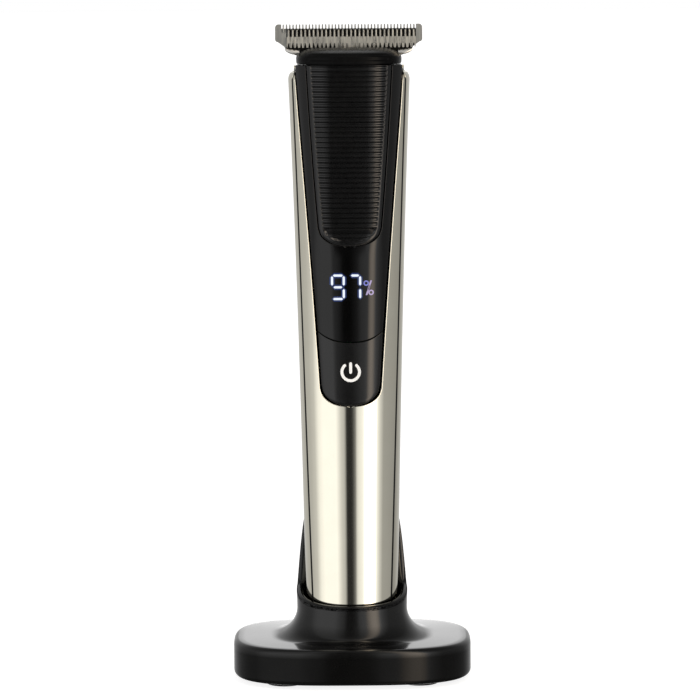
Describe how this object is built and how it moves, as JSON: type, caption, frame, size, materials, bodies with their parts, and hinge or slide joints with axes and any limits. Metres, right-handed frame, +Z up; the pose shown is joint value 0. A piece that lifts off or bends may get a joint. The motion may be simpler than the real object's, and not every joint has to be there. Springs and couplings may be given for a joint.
{
  "type": "body groomer",
  "caption": "Cordless body groomer with a T-blade head, percentage display, power button and ribbed thumb grip, standing in its charging stand.",
  "frame": {"origin": "middle of the stand's footprint, on the surface that it stands on", "axes": "+Z up along the groomer towards the blade, -Y towards the display side, +X to the right seen from the display side"},
  "size_m": [0.064, 0.05, 0.1757],
  "materials": {
    "satin_black_plastic": "satin moulded ABS",
    "gloss_black_plastic": "polished smoked black",
    "grip_black": "ribbed satin",
    "champagne_chrome": "mirror, warm nickel tone",
    "blade_steel": "ground",
    "spring_steel": "plain",
    "foot_rubber": "matte",
    "circuit_board": "solder mask",
    "contact_gold": "plated",
    "icon_white": "printed inlay",
    "display_white": "reflector housing",
    "cell_wrap": "shrink wrap",
    "nylon_white": "natural acetal",
    "chassis_plastic": "moulded"
  },
  "bodies": {
    "stand": {"stand_body": "satin_black_plastic", "stand_base_plate": "satin_black_plastic", "stand_foot_1": "foot_rubber", "stand_foot_2": "foot_rubber", "stand_foot_3": "foot_rubber", "stand_foot_4": "foot_rubber", "base_screw_1": "spring_steel", "base_screw_2": "spring_steel", "base_screw_3": "spring_steel", "base_screw_4": "spring_steel", "stand_pcb": "circuit_board", "charge_socket": "spring_steel", "contact_block": "satin_black_plastic"},
    "charge_pin_left": {"charge_pin_left": "contact_gold"},
    "charge_pin_right": {"charge_pin_right": "contact_gold"},
    "groomer": {"front_shell": "champagne_chrome", "rear_shell": "champagne_chrome", "display_fascia": "gloss_black_plastic", "thumb_grip": "grip_black", "bottom_cap": "satin_black_plastic", "charge_contact_left": "contact_gold", "charge_contact_right": "contact_gold", "neck_collar": "satin_black_plastic", "inner_chassis": "chassis_plastic", "battery_cell": "cell_wrap", "battery_tab_lower": "spring_steel", "battery_tab_upper": "spring_steel", "main_pcb": "circuit_board", "pcb_screw_lower": "spring_steel", "pcb_screw_upper": "spring_steel", "display_module": "display_white", "tact_switch": "spring_steel", "motor": "spring_steel", "motor_mount": "chassis_plastic", "motor_screw_left": "spring_steel", "motor_screw_right": "spring_steel"},
    "power_button": {"power_button": "gloss_black_plastic", "power_icon": "icon_white"},
    "motor_rotor": {"motor_shaft": "spring_steel", "eccentric_cam": "nylon_white", "cam_pin": "spring_steel"},
    "head": {"head_housing": "satin_black_plastic", "fixed_blade": "blade_steel", "blade_bracket": "spring_steel", "blade_screw_left": "spring_steel", "blade_screw_right": "spring_steel", "blade_spring": "spring_steel"},
    "cutter": {"moving_blade": "blade_steel", "drive_follower": "nylon_white"}
  },
  "joints": [
    {"name": "groomer_lift", "type": "slide", "parent": "stand", "child": "groomer", "axis": [0, 0, 1], "range_m": [0, 0.06]},
    {"name": "charge_pin_left_press", "type": "slide", "parent": "stand", "child": "charge_pin_left", "axis": [0, 0, -1], "range_m": [0, 0.001], "stiffness_N_per_m": 150, "springref_m": -0.0005},
    {"name": "charge_pin_right_press", "type": "slide", "parent": "stand", "child": "charge_pin_right", "axis": [0, 0, -1], "range_m": [0, 0.001], "stiffness_N_per_m": 150, "springref_m": -0.0005},
    {"name": "power_button_press", "type": "slide", "parent": "groomer", "child": "power_button", "axis": [0, 1, 0], "range_m": [0, 0.0005], "stiffness_N_per_m": 800, "springref_m": -0.0005},
    {"name": "motor_spin", "type": "hinge", "parent": "groomer", "child": "motor_rotor", "pos_m": [0, -0.0031, 0.146], "axis": [0, 0, 1], "continuous": true},
    {"name": "head_pull", "type": "slide", "parent": "groomer", "child": "head", "axis": [0, 0, 1], "range_m": [0, 0.012]},
    {"name": "cutter_slide", "type": "slide", "parent": "head", "child": "cutter", "axis": [1, 0, 0], "range_m": [-0.00155, 0.00025]}
  ]
}
